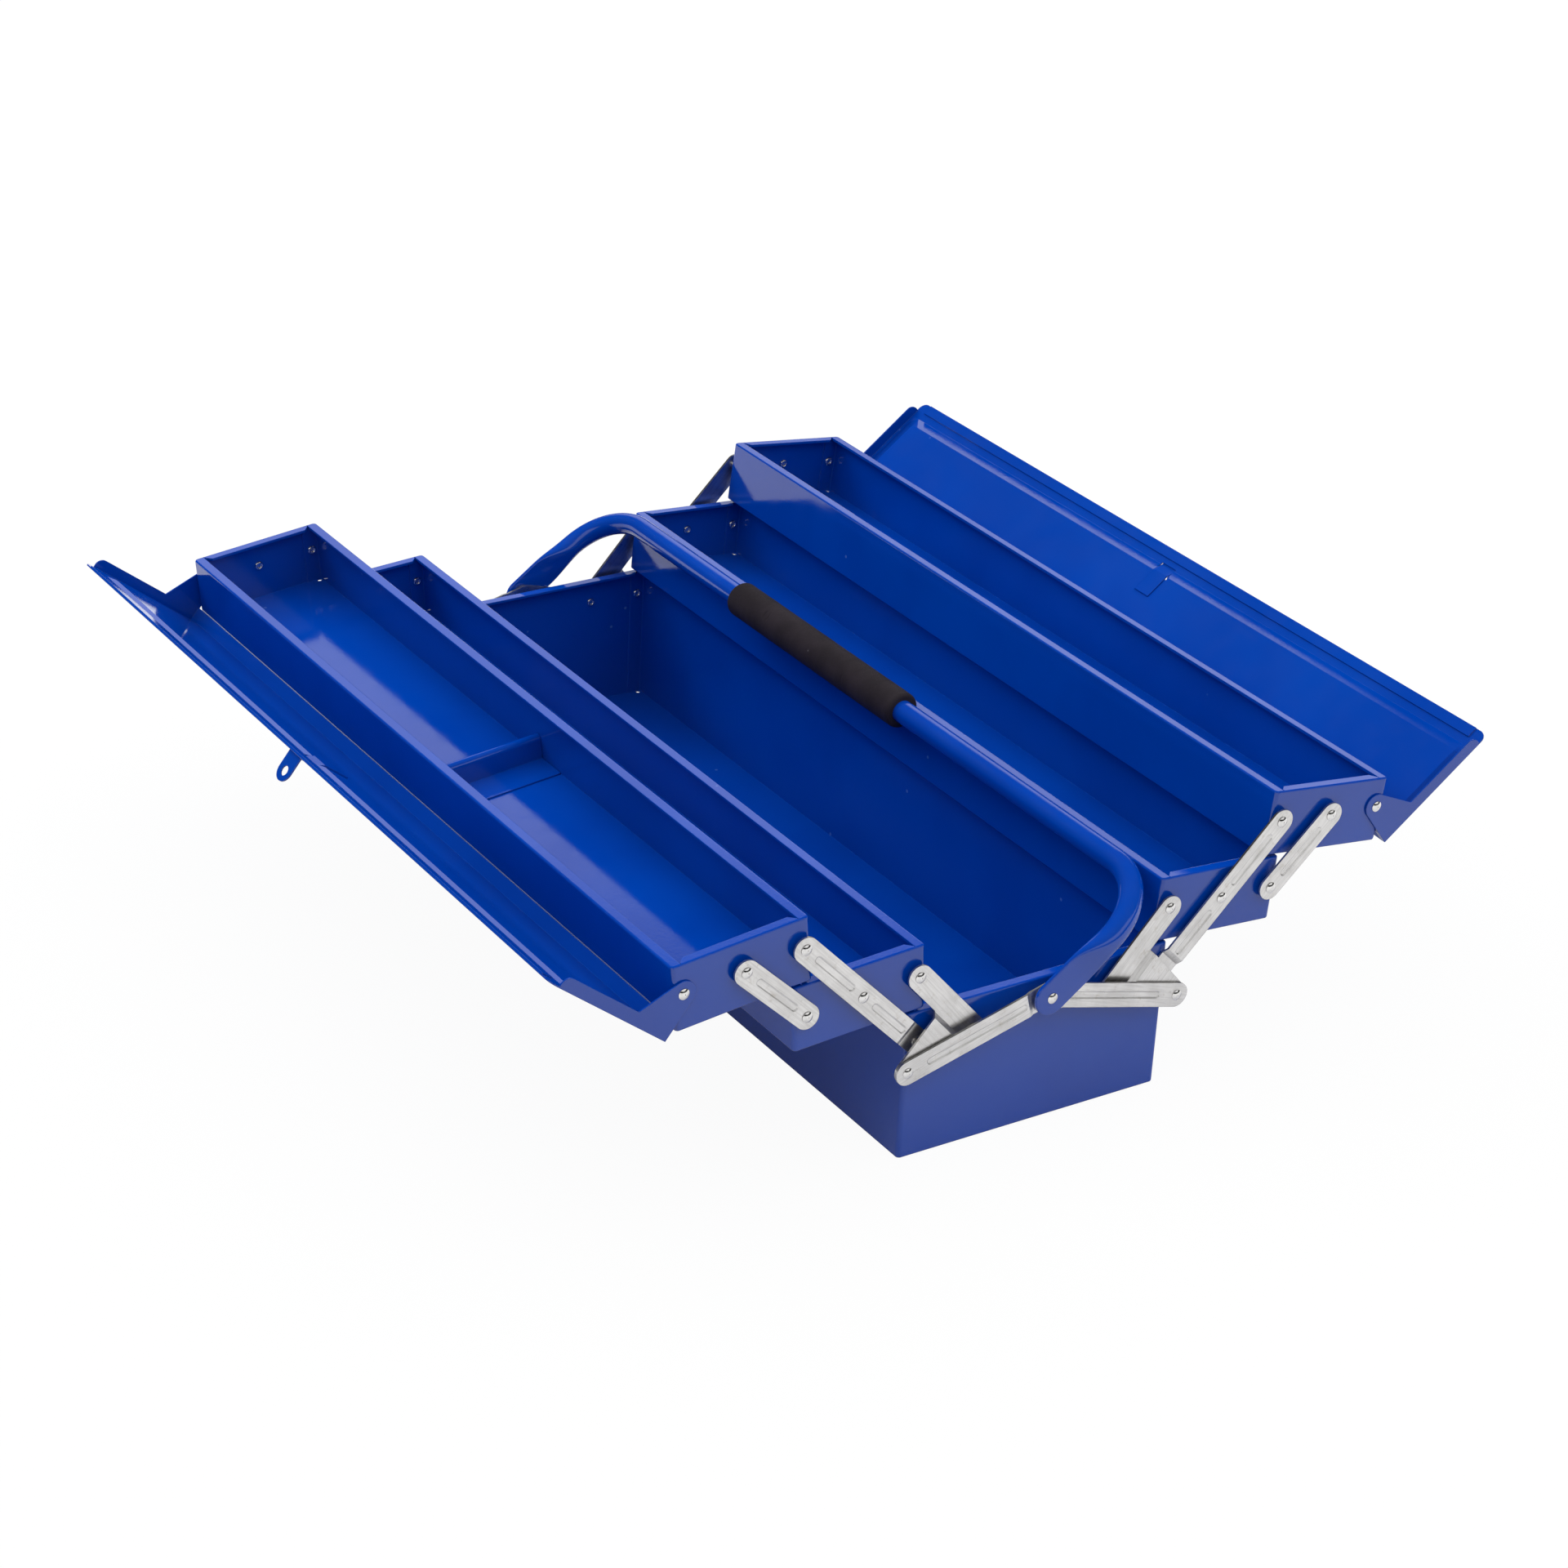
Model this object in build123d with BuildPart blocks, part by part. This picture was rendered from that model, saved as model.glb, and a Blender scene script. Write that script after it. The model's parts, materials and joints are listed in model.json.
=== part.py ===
from build123d import *
from math import asin, atan2, cos, degrees, hypot, pi, radians, sin
import os

# A five-tray cantilever tool box, shown fully open, in millimetres.
# X runs along the box and +X is its near end; -Y is the front and +Y the back.
# The origin is the middle of the underside of the base, and +Z is up.

# Folded steel bodies
body_length = 656.0
body_width = 200.0
base_height = 104.0
tray_height = 45.0
sheet = 1.0
corner_bend = 3.0
floor_bend = 1.4
rim_bend = 1.3
rim_width = 7.0
rim_thickness = 2.0
rim_taper = 4.5
rim_seam = 0.4
corner_tab = 11.0
relief_hole = 1.7
relief_inset = 3.4

# How the trays stack when the box is shut, and hang when it is open
stack_gap = 0.5
centre_gap = 3.1
tray_side_step = 1.4
pivot_drop = 19.5
base_pivot_inset = 6.7
upper_pivot_inset = 6.0
crank_pivot_inset = 6.6
lid_pivot_inset = 6.5
open_clearance = 1.45
lower_droop = 3.8
upper_droop = 6.6

# Steel strip linkage, in layers counted outwards from the end walls
strip_width = 17.0
strip_thickness = 1.5
inner_layer = 0.6
arm_joggle = 2.4
lever_gap = 0.4
link_gap = 0.4
lap_gap = 0.3
joggle_start = 11.0
joggle_end = 15.0
side_play = 0.05
groove_width = 3.4
groove_depth = 0.65
groove_slope = 55.0
groove_margin = 13.0
lever_along = 22.0
lever_reach = 48.0
lever_end_radius = 8.0
lever_root_low = 4.0
lever_root_high = 27.0
riser_start = 8.8
riser_end = 12.0
link_groove_margin = 17.0

# Rivets
shank_radius = 2.0
shoulder_radius = 4.0
head_radius = 3.7
head_height = 1.5
head_edge = 0.3
tail_radius = 3.3
tail_height = 1.2
dimple_radius = 1.3
dimple_depth = 0.9
running_fit = 0.05
loop_clearance = 0.9

# Lids
lid_edge_gap = 1.2
lid_end_gap = 0.3
lid_rest_gap = 0.35
lid_flange = 7.5
lid_corner = 6.0
lid_flange_end = 8.0
lid_flange_round = 6.0
lid_hem = 8.0
lid_hem_inset = 4.0
lid_border = 14.0
lid_end_border = 3.5
lid_step_run = 7.0
lid_step_corner = 9.0
lid_step = 1.2
lid_pivot_in = 8.6
lid_pivot_down = 29.0
lid_open_angle = 37.5
ear_radius = 8.5
ear_root = 30.0

# Padlock eyes
eye_width = 15.5
eye_rise = 21.5
eye_hole_radius = 3.4
eye_hole_rise = 14.3
eye_foot = 20.0
eye_sheet = 1.0
eye_inset = 2.0
eye_slit_play = 0.3
eye_slit_margin = 1.5
eye_slit_relief = 0.9

# Carrying handle
tube_radius = 8.0
handle_pivot_drop = 7.8
handle_bend = 45.0
handle_rest_gap = 0.3
leg_straight = 1.0
paddle_thickness = 3.0
paddle_width = 24.5
paddle_flat_end = 31.0
tube_round_start = 49.5
paddle_sections = 5
grip_radius = 13.0
grip_length = 208.0
grip_shift = -50.0
grip_edge = 2.5

# Divider in the front upper tray
divider_height = 17.5
divider_foot = 25.0
divider_roll = 3.0
divider_play = 0.2


# ---------------------------------------------------------------- positions

def turned(vector, angle):
    """A (y, z) vector turned by an angle in degrees, from +Y towards +Z."""
    a = radians(angle)
    y, z = vector
    return (y * cos(a) - z * sin(a), y * sin(a) + z * cos(a))


def moved(point, vector):
    return (point[0] + vector[0], point[1] + vector[1])


def bearing(start, end):
    """The angle in degrees of the line from one (y, z) point to another."""
    return degrees(atan2(end[1] - start[1], end[0] - start[0]))


def reach(start, end):
    return hypot(end[0] - start[0], end[1] - start[1])


def partner_pivot(pivot, open_end, shut_end):
    """The point level with a pivot that is equally far from a link's open and shut ends."""
    height = pivot[1]
    spread = open_end[0] ** 2 - shut_end[0] ** 2
    rise = (open_end[1] - height) ** 2 - (shut_end[1] - height) ** 2
    return ((spread + rise) / (2 * (open_end[0] - shut_end[0])), height)


# All of these describe the back half; the front half is its mirror image.
tray_width = body_width / 2 - centre_gap - tray_side_step
tray_pitch = tray_height + stack_gap
shut_run = (body_width / 2 - base_pivot_inset - upper_pivot_inset - centre_gap) / 2
arm_half = hypot(shut_run, tray_pitch)
shut_angle = degrees(atan2(tray_pitch, -shut_run))
lower_pivot_inset = upper_pivot_inset + shut_run
tray_pivot_pitch = lower_pivot_inset - crank_pivot_inset

# The open trays hang clear of the rims below them.
rim_to_pivot = turned((base_pivot_inset, pivot_drop), lower_droop)[1]
open_rise = rim_to_pivot + tray_height - pivot_drop + open_clearance
open_angle = degrees(asin(open_rise / arm_half)) - lower_droop

arm_base = (body_width / 2 - base_pivot_inset, base_height - pivot_drop)
arm_middle = moved(arm_base, turned((arm_half, 0), open_angle))
arm_top = moved(arm_middle, turned((arm_half, 0), open_angle))
arm_middle_shut = moved(arm_base, turned((arm_half, 0), shut_angle))
arm_top_shut = moved(arm_middle_shut, turned((arm_half, 0), shut_angle))

crank_top = moved(arm_middle, turned((-tray_pivot_pitch, 0), -lower_droop))
crank_top_shut = moved(arm_middle_shut, (-tray_pivot_pitch, 0))
crank_base = partner_pivot(arm_base, crank_top, crank_top_shut)
crank_length = reach(crank_base, crank_top)
crank_angle = bearing(crank_base, crank_top)

short_top = moved(arm_top, turned((tray_pivot_pitch, 0), -upper_droop))
short_top_in_tray = turned((short_top[0] - arm_middle[0], short_top[1] - arm_middle[1]), lower_droop)
short_top_shut = (arm_top_shut[0] + tray_pivot_pitch - arm_middle_shut[0],
                  arm_top_shut[1] - arm_middle_shut[1])
short_base_in_tray = partner_pivot((0, 0), short_top_in_tray, short_top_shut)
short_base = moved(arm_middle, turned(short_base_in_tray, -lower_droop))
short_length = reach(short_base, short_top)
short_angle = bearing(short_base, short_top)

# A lid hangs with its lip against the tray's outer wall, and reaches the middle when shut.
lid_pivot_in_tray = tray_width - lid_pivot_inset - upper_pivot_inset
lid_pivot = moved(arm_top, turned((lid_pivot_in_tray, 0), -upper_droop))
lid_corner_out = turned((-lid_pivot_in, -lid_pivot_down), lid_open_angle + upper_droop)[0]
lid_lip_reach = lid_corner_out - lid_pivot_inset - lid_rest_gap
lid_lip = lid_lip_reach / sin(radians(lid_open_angle + upper_droop))
lid_depth = arm_top_shut[0] + lid_pivot_in_tray + lid_pivot_in - lid_edge_gap
lid_step_end = lid_depth - lid_border
lid_step_start = lid_step_end - lid_step_run

# Layers of the strips, outwards from the end wall
arm_layer = inner_layer + arm_joggle
lever_layer = arm_layer + strip_thickness + head_height + lever_gap
link_layer = lever_layer + strip_thickness + link_gap
link_set = (strip_thickness + lap_gap) / 2
paddle_layer = link_layer + link_set + strip_thickness + lap_gap

lever_tip = moved(crank_base, turned((lever_along, -lever_reach), crank_angle))
handle_height = base_height - handle_pivot_drop
handle_pivot = (0, handle_height)
link_length = reach(lever_tip, handle_pivot)
link_angle = bearing(lever_tip, handle_pivot)

# The open handle leans back until its grip meets the lower tray.
end_face = body_length / 2
handle_rise = tube_round_start + leg_straight + handle_bend
pivot_to_handle = moved(arm_middle, (-handle_pivot[0], -handle_pivot[1]))
handle_to_wall = turned(pivot_to_handle, lower_droop)[0] - lower_pivot_inset
handle_lean = lower_droop + degrees(asin((handle_to_wall - grip_radius - handle_rest_gap) / handle_rise))


# ------------------------------------------------------------------ planes

def end_plane(point, angle, layer):
    """Flat on the near end, x along a strip, at a layer's distance from the end wall."""
    along = (0, cos(radians(angle)), sin(radians(angle)))
    return Plane(origin=(end_face + layer, point[0], point[1]), x_dir=along, z_dir=(1, 0, 0))


def tray_plane(pivot, inset, droop):
    """The middle of a tray's underside, tipped down towards its outer side."""
    centre = moved(pivot, turned((tray_width / 2 - inset, pivot_drop - tray_height), -droop))
    up = turned((0, 1), -droop)
    return Plane(origin=(0, centre[0], centre[1]), x_dir=(1, 0, 0), z_dir=(0, up[0], up[1]))


def lid_plane():
    """The lid's hinge-side outer corner, y towards its free edge and z into the lid."""
    corner = moved(lid_pivot, turned((-lid_pivot_in, -lid_pivot_down), lid_open_angle))
    inward = turned((0, 1), lid_open_angle)
    return Plane(origin=(0, corner[0], corner[1]), x_dir=(1, 0, 0), z_dir=(0, inward[0], inward[1]))


def handle_plane():
    """The plane of the handle hoop, y up its legs."""
    lean = radians(handle_lean)
    return Plane(origin=(0, 0, handle_height), x_dir=(1, 0, 0), z_dir=(0, -cos(lean), sin(lean)))


base_plane = Plane.XY
lower_tray_plane = tray_plane(arm_middle, lower_pivot_inset, lower_droop)
upper_tray_plane = tray_plane(arm_top, upper_pivot_inset, upper_droop)

base_pivots = [(arm_base[0], arm_base[1]), (crank_base[0], crank_base[1])]
tray_pivot_height = tray_height - pivot_drop
lower_first = lower_pivot_inset - tray_width / 2
upper_first = upper_pivot_inset - tray_width / 2
lower_pivots = [(lower_first, tray_pivot_height),
                (lower_first - tray_pivot_pitch, tray_pivot_height),
                (lower_first + short_base_in_tray[0], tray_pivot_height)]
upper_pivots = [(upper_first, tray_pivot_height),
                (upper_first + tray_pivot_pitch, tray_pivot_height)]
upper_lid_pivot = (upper_first + lid_pivot_in_tray, tray_pivot_height)


# ----------------------------------------------------------- folded bodies

def folded_box(width, height, pivots):
    """An open box folded from sheet, with hemmed rims, corner tabs and rivet holes."""
    cavity_height = height - sheet - rim_thickness
    wall_x = end_face - sheet
    wall_y = width / 2 - sheet
    mouth_x = end_face - rim_width
    mouth_y = width / 2 - rim_width
    with BuildPart() as box:
        with BuildSketch():
            RectangleRounded(body_length, width, corner_bend)
        extrude(amount=height)
        fillet(box.faces().sort_by(Axis.Z)[0].edges(), floor_bend)
        fillet(box.faces().sort_by(Axis.Z)[-1].edges(), rim_bend)
        with BuildSketch(Plane.XY.offset(sheet)):
            RectangleRounded(2 * wall_x, 2 * wall_y, corner_bend - sheet)
        extrude(amount=cavity_height, mode=Mode.SUBTRACT)
        with BuildSketch(Plane.XY.offset(height - rim_thickness)):
            Rectangle(2 * mouth_x, 2 * mouth_y)
            with BuildLine():
                Polyline((mouth_x, mouth_y),
                         (mouth_x, mouth_y - rim_taper),
                         (mouth_x + rim_taper, mouth_y - rim_seam),
                         (wall_x, mouth_y - rim_seam),
                         (wall_x, mouth_y),
                         close=True)
            make_face()
            mirror(about=Plane.YZ)
            mirror(about=Plane.XZ)
        extrude(amount=rim_thickness, mode=Mode.SUBTRACT)
        with BuildSketch(Plane.XY.offset(sheet)):
            with GridLocations(2 * wall_x - sheet, 2 * wall_y - corner_tab, 2, 2):
                Rectangle(sheet, corner_tab)
        extrude(amount=cavity_height)
        with BuildSketch():
            with GridLocations(2 * (end_face - relief_inset), width - 2 * relief_inset, 2, 2):
                Circle(relief_hole)
        extrude(amount=sheet, mode=Mode.SUBTRACT)
        with BuildSketch(Plane.YZ):
            with Locations(*pivots):
                Circle(shank_radius + running_fit)
        extrude(amount=body_length, both=True, mode=Mode.SUBTRACT)
    return box.part


def placed(part, plane):
    with BuildPart() as piece:
        with Locations(plane.location):
            add(part)
    return piece


def both_ends(part):
    """A near-end piece or group with its mirror image at the far end."""
    with BuildPart() as pair:
        add(part)
        mirror(part, about=Plane.YZ)
    return pair.part


def mirrored(part, about):
    with BuildPart() as piece:
        mirror(part, about=about)
    return piece


# ----------------------------------------------------------------- rivets

def rivet(grip, shoulder, pin):
    """A rivet turned about X: ring tail, shank, shoulder, pin and domed head.

    x = 0 is the outer face of the wall that holds it, and grip is that wall's thickness.
    """
    head_x = shoulder + pin
    cap = head_height - head_edge
    cap_radius = (head_radius ** 2 + cap ** 2) / (2 * cap)
    half_turn = asin(head_radius / cap_radius) / 2
    cap_centre = head_x + head_height - cap_radius
    dimple_x = -grip - tail_height + dimple_depth
    with BuildPart() as turned_rivet:
        with BuildSketch(Plane.XZ):
            with BuildLine():
                Polyline((cap_centre + cap_radius, 0), (dimple_x, 0), (dimple_x, dimple_radius))
                ThreePointArc((dimple_x, dimple_radius),
                              (-grip - tail_height, (dimple_radius + tail_radius) / 2),
                              (dimple_x, tail_radius))
                Polyline((dimple_x, tail_radius), (-grip, tail_radius), (-grip, shank_radius))
                if shoulder > 0:
                    Polyline((-grip, shank_radius),
                             (0, shank_radius),
                             (0, shoulder_radius),
                             (shoulder, shoulder_radius),
                             (shoulder, shank_radius),
                             (head_x, shank_radius))
                else:
                    Line((-grip, shank_radius), (head_x, shank_radius))
                Polyline((head_x, shank_radius),
                         (head_x, head_radius),
                         (head_x + head_edge, head_radius))
                ThreePointArc((head_x + head_edge, head_radius),
                              (cap_centre + cap_radius * cos(half_turn), cap_radius * sin(half_turn)),
                              (cap_centre + cap_radius, 0))
            make_face()
        revolve(axis=Axis.X)
    return turned_rivet.part


pin_length = strip_thickness + 3 * side_play


def pivot_rivet(pivot, shoulder, width):
    """A rivet for a strip, gripping the end wall and, near a corner, the tab behind it."""
    on_tab = abs(pivot[0]) > width / 2 - sheet - corner_tab - tail_radius
    grip = 2 * sheet if on_tab else sheet
    with BuildPart() as set_rivet:
        with Locations((end_face, pivot[0], pivot[1])):
            add(rivet(grip, shoulder, pin_length))
    return set_rivet.part


def lid_rivet(pivot):
    with BuildPart() as set_rivet:
        with Locations((end_face, pivot[0], pivot[1])):
            add(rivet(2 * sheet, 0, lid_end_gap + sheet + side_play))
    return set_rivet.part


def rivet_group(rivets, plane):
    """Rivets set in the near end wall, copied to the far end and put where their box is."""
    with BuildPart() as group:
        for one in rivets:
            add(one)
    return placed(both_ends(group.part), plane)


# ------------------------------------------------------------ linkage strips

def strip_outline(length, width=strip_width):
    """A round-ended strip with its first pivot at the origin."""
    with BuildSketch() as outline:
        with Locations((length / 2, 0)):
            SlotCenterToCenter(length, width)
    return outline.sketch


def pressed_strip(plane, length, levels, holes, grooves):
    """A strip cut to its outline and bent to levels, pairs of distance along and layer.

    The plane lies on the end wall, and grooves are pairs of start and end.
    """
    outer = max(level for along, level in levels) + strip_thickness
    with BuildPart() as strip:
        with BuildSketch(plane):
            add(strip_outline(length))
        extrude(amount=outer)
        side = Plane(origin=plane.origin, x_dir=plane.x_dir, z_dir=-plane.y_dir)
        with BuildSketch(side):
            with BuildLine():
                lower_line = [(along, level) for along, level in levels]
                upper_line = [(along, level + strip_thickness) for along, level in reversed(levels)]
                Polyline(*lower_line, *upper_line, close=True)
            make_face()
        extrude(amount=strip_width, both=True, mode=Mode.INTERSECT)
        with BuildSketch(plane):
            for along, radius in holes:
                with Locations((along, 0)):
                    Circle(radius)
        extrude(amount=outer, mode=Mode.SUBTRACT)
        for start, end, layer in grooves:
            with BuildSketch(plane.offset(layer + strip_thickness - groove_depth)):
                with Locations(((start + end) / 2, 0)):
                    SlotCenterToCenter(end - start, groove_width)
            extrude(amount=groove_depth, taper=-groove_slope, mode=Mode.SUBTRACT)
    return strip


pin_hole = shank_radius + running_fit
loop_hole = shank_radius + loop_clearance


def long_arm():
    """Base to lower tray to upper tray, its lower end bent in behind the crank."""
    length = 2 * arm_half
    levels = [(-strip_width, inner_layer), (joggle_start, inner_layer),
              (joggle_end, arm_layer), (length + strip_width, arm_layer)]
    holes = [(0, pin_hole), (arm_half, pin_hole), (length, pin_hole)]
    grooves = [(joggle_end + groove_width, arm_half - groove_margin, arm_layer),
               (arm_half + groove_margin, length - groove_margin, arm_layer)]
    return pressed_strip(end_plane(arm_base, open_angle, 0), length, levels, holes, grooves)


def short_arm():
    """Outer side of the lower tray to the middle of the upper tray."""
    levels = [(-strip_width, arm_layer), (short_length + strip_width, arm_layer)]
    holes = [(0, pin_hole), (short_length, loop_hole)]
    grooves = [(groove_margin, short_length - groove_margin, arm_layer)]
    return pressed_strip(end_plane(short_base, short_angle, 0), short_length, levels, holes, grooves)


def crank():
    """Base to the inner side of the lower tray, with a raised lever for the handle link."""
    plane = end_plane(crank_base, crank_angle, 0)
    outer = lever_layer + strip_thickness
    far_side = lever_reach + lever_end_radius + strip_width
    with BuildPart() as piece:
        with BuildSketch(plane):
            add(strip_outline(crank_length))
            with BuildSketch(mode=Mode.PRIVATE) as lever:
                with Locations((lever_along, -lever_reach)):
                    Circle(lever_end_radius)
                with Locations((lever_root_low, 0), (lever_root_high, 0)):
                    Circle(strip_width / 2)
                make_hull()
            add(lever.sketch)
        extrude(amount=outer)
        across = Plane(origin=plane.origin, x_dir=-plane.y_dir, z_dir=-plane.x_dir)
        with BuildSketch(across):
            with BuildLine():
                flat = [(-strip_width, arm_layer), (riser_start, arm_layer),
                        (riser_end, lever_layer), (far_side, lever_layer)]
                raised = [(y, layer + strip_thickness) for y, layer in reversed(flat)]
                Polyline(*flat, *raised, close=True)
            make_face()
        extrude(amount=crank_length + strip_width, both=True, mode=Mode.INTERSECT)
        with BuildSketch(plane):
            Circle(pin_hole)
            with Locations((crank_length, 0)):
                Circle(loop_hole)
            with Locations((lever_along, -lever_reach)):
                Circle(pin_hole)
        extrude(amount=outer, mode=Mode.SUBTRACT)
    return piece


def handle_link(step):
    """Crank lever to handle; step moves its handle end off the link layer, so that two links lap."""
    over = link_length - joggle_end
    levels = [(-strip_width, link_layer), (over, link_layer),
              (over + abs(step) + strip_thickness, link_layer + step),
              (link_length + strip_width, link_layer + step)]
    holes = [(0, pin_hole), (link_length, pin_hole)]
    grooves = [(link_groove_margin, over - groove_width, link_layer)]
    return pressed_strip(end_plane(lever_tip, link_angle, 0), link_length, levels, holes, grooves)


def link_rivet_head():
    """The outer half of the lever rivet, held in the link."""
    with BuildPart() as half:
        with Locations((end_face + link_layer, lever_tip[0], lever_tip[1])):
            add(rivet(0, 0, strip_thickness))
        with BuildSketch(Plane.YZ.offset(end_face + link_layer)):
            with Locations(lever_tip):
                Circle(body_width)
        extrude(amount=strip_thickness + head_height, mode=Mode.INTERSECT)
    return half.part


def crank_rivet_tail():
    """The inner half of the lever rivet, held in the crank."""
    with BuildPart() as half:
        with Locations((end_face + lever_layer, lever_tip[0], lever_tip[1])):
            add(rivet(0, 0, 2 * strip_thickness))
        with BuildSketch(Plane.YZ.offset(end_face + lever_layer + strip_thickness)):
            with Locations(lever_tip):
                Circle(body_width)
        extrude(amount=-strip_thickness - tail_height, mode=Mode.INTERSECT)
    return half.part


def handle_rivet():
    """Through both links and the handle's flattened end."""
    first_face = link_layer - link_set - side_play
    last_face = paddle_layer + paddle_thickness + side_play
    with BuildPart() as pin:
        with Locations((end_face + first_face, handle_pivot[0], handle_pivot[1])):
            add(rivet(0, 0, last_face - first_face))
    return pin.part


# ------------------------------------------------------------------- lids

def lid_end_flange(length):
    """The near-end flange of a lid, with its rounded end and pivot ear."""
    plane = lid_plane()
    flange_start = lid_depth - lid_flange_end
    end_x = length / 2 - sheet
    wall = Plane(origin=plane.origin + plane.x_dir * end_x, x_dir=plane.y_dir, z_dir=plane.x_dir)
    with BuildPart() as flange:
        with BuildSketch(wall):
            with BuildLine():
                Polyline((0, -lid_step), (flange_start, -lid_step),
                         (flange_start, lid_flange - lid_flange_round))
                RadiusArc((flange_start, lid_flange - lid_flange_round),
                          (flange_start - lid_flange_round, lid_flange), -lid_flange_round)
                Polyline((flange_start - lid_flange_round, lid_flange), (0, lid_flange), (0, -lid_step))
            make_face()
            with BuildSketch(mode=Mode.PRIVATE) as ear:
                with Locations((lid_pivot_in, lid_pivot_down)):
                    Circle(ear_radius)
                with Locations((ear_root / 2, lid_flange / 2)):
                    Rectangle(ear_root, lid_flange)
                make_hull()
            add(ear.sketch)
            with Locations((lid_pivot_in, lid_pivot_down)):
                Circle(shank_radius + running_fit, mode=Mode.SUBTRACT)
        extrude(amount=sheet)
    return flange.part


def lid_field(length, inset, level):
    """The outline of a lid's raised field on its hinge side, inset from the foot of its slope."""
    half = length / 2 - lid_end_border - inset
    depth = lid_step_end - inset
    with BuildSketch(lid_plane().offset(level)) as field:
        with Locations((0, depth / 2)):
            RectangleRounded(2 * half, depth, lid_step_corner)
        with Locations((0, lid_step_corner / 2)):
            Rectangle(2 * half, lid_step_corner)
    return field.sketch


def lid_step_block(length, level):
    """The solid between the foot and the top of the field's slope, from a level inwards."""
    with BuildPart() as block:
        add(lid_field(length, 0, level))
        add(lid_field(length, lid_step_run, level + lid_step))
        loft()
    return block.part


def lid():
    """A folded lid: hinge lip, panel with a raised field, hemmed edge, end flanges and an eye slit."""
    length = body_length + 2 * (lid_end_gap + sheet)
    plane = lid_plane()
    flange = lid_end_flange(length)
    slit_width = eye_width + 2 * eye_slit_play
    slit_start = lid_step_start - eye_slit_margin
    slit_end = lid_step_end + eye_slit_margin
    with BuildPart() as cover:
        with BuildSketch(plane.offset(-lid_step)):
            with Locations((0, lid_depth / 2)):
                RectangleRounded(length, lid_depth, lid_corner)
            with Locations((0, lid_corner / 2)):
                Rectangle(length, lid_corner)
        extrude(amount=sheet)
        with BuildSketch(plane.offset(-lid_step)):
            with Locations((0, sheet / 2)):
                Rectangle(length, sheet)
        extrude(amount=lid_lip + lid_step)
        add(lid_step_block(length, sheet - lid_step))
        add(lid_step_block(length, -lid_step), mode=Mode.SUBTRACT)
        with BuildSketch(plane.offset(sheet - lid_step)):
            with Locations((0, lid_depth - lid_hem / 2)):
                Rectangle(length - 2 * (lid_corner + lid_hem_inset), lid_hem)
        extrude(amount=sheet)
        add(flange)
        mirror(flange, about=Plane.YZ)
        with BuildSketch(plane.offset(-lid_step)):
            with Locations((0, (slit_start + slit_end) / 2)):
                Rectangle(slit_width, slit_end - slit_start)
            with Locations((slit_width / 2, slit_start), (-slit_width / 2, slit_start)):
                Circle(eye_slit_relief)
        extrude(amount=lid_lip, mode=Mode.SUBTRACT)
    return cover


def padlock_eye():
    """A cranked strip: foot inside the lid, through its slit, then out as an eye at the free edge."""
    plane = lid_plane()
    section = Plane(origin=plane.origin, x_dir=plane.y_dir, z_dir=plane.x_dir)
    facing = Plane(origin=plane.origin, x_dir=plane.x_dir, z_dir=plane.y_dir)
    inside = sheet + eye_sheet / 2
    outside = -lid_step - eye_sheet / 2
    upright = lid_depth - eye_inset - eye_sheet / 2
    tip = eye_rise - eye_width / 2
    with BuildPart() as eye:
        with BuildSketch(section):
            with BuildLine() as bends:
                Polyline((lid_step_start - eye_foot, inside), (lid_step_start, inside),
                         (lid_step_end, outside), (upright, outside), (upright, -eye_rise))
            trace(bends.line, line_width=eye_sheet)
        extrude(amount=eye_width / 2, both=True)
        with BuildSketch(facing):
            with Locations((0, tip)):
                Circle(eye_width / 2)
            with Locations((0, tip / 2 - lid_lip)):
                Rectangle(eye_width, tip + 2 * lid_lip)
            with Locations((0, eye_hole_rise)):
                Circle(eye_hole_radius, mode=Mode.SUBTRACT)
        extrude(amount=lid_depth, mode=Mode.INTERSECT)
    return eye


# ----------------------------------------------------------------- handle

leg_x = end_face + paddle_layer + paddle_thickness / 2


def leg_plane(along):
    """Square to the near leg of the handle at a distance up from its pivot, y across the leg."""
    plane = handle_plane()
    middle = plane.origin + plane.x_dir * leg_x + plane.y_dir * along
    return Plane(origin=middle, x_dir=plane.x_dir, z_dir=plane.y_dir)


def handle_paddle():
    """The near end of the tube, pressed flat and pierced for its pivot."""
    plane = handle_plane()
    side = Plane(origin=plane.origin + plane.x_dir * (leg_x - paddle_thickness / 2),
                 x_dir=plane.y_dir, z_dir=plane.x_dir)
    with BuildPart() as paddle:
        for step in range(paddle_sections):
            share = step / (paddle_sections - 1)
            along = paddle_flat_end + share * (tube_round_start - paddle_flat_end)
            eased = (1 - cos(share * pi)) / 2
            with BuildSketch(leg_plane(along)):
                Ellipse(paddle_thickness / 2 + eased * (tube_radius - paddle_thickness / 2),
                        paddle_width / 2 + eased * (tube_radius - paddle_width / 2))
        loft()
        with BuildSketch(side):
            Circle(paddle_width / 2)
            with Locations((paddle_flat_end / 2, 0)):
                Rectangle(paddle_flat_end, paddle_width)
            Circle(shank_radius + running_fit, mode=Mode.SUBTRACT)
        extrude(amount=paddle_thickness)
    return paddle.part


def handle_tube():
    """A bent tube whose ends are pressed flat for the pivots."""
    paddle = handle_paddle()
    with BuildPart() as handle:
        with BuildLine(handle_plane()) as path:
            FilletPolyline((leg_x, tube_round_start), (leg_x, handle_rise),
                           (-leg_x, handle_rise), (-leg_x, tube_round_start), radius=handle_bend)
        with BuildSketch(leg_plane(tube_round_start)):
            Circle(tube_radius)
        sweep(path=path.line)
        add(paddle)
        mirror(paddle, about=Plane.YZ)
    return handle


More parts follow.
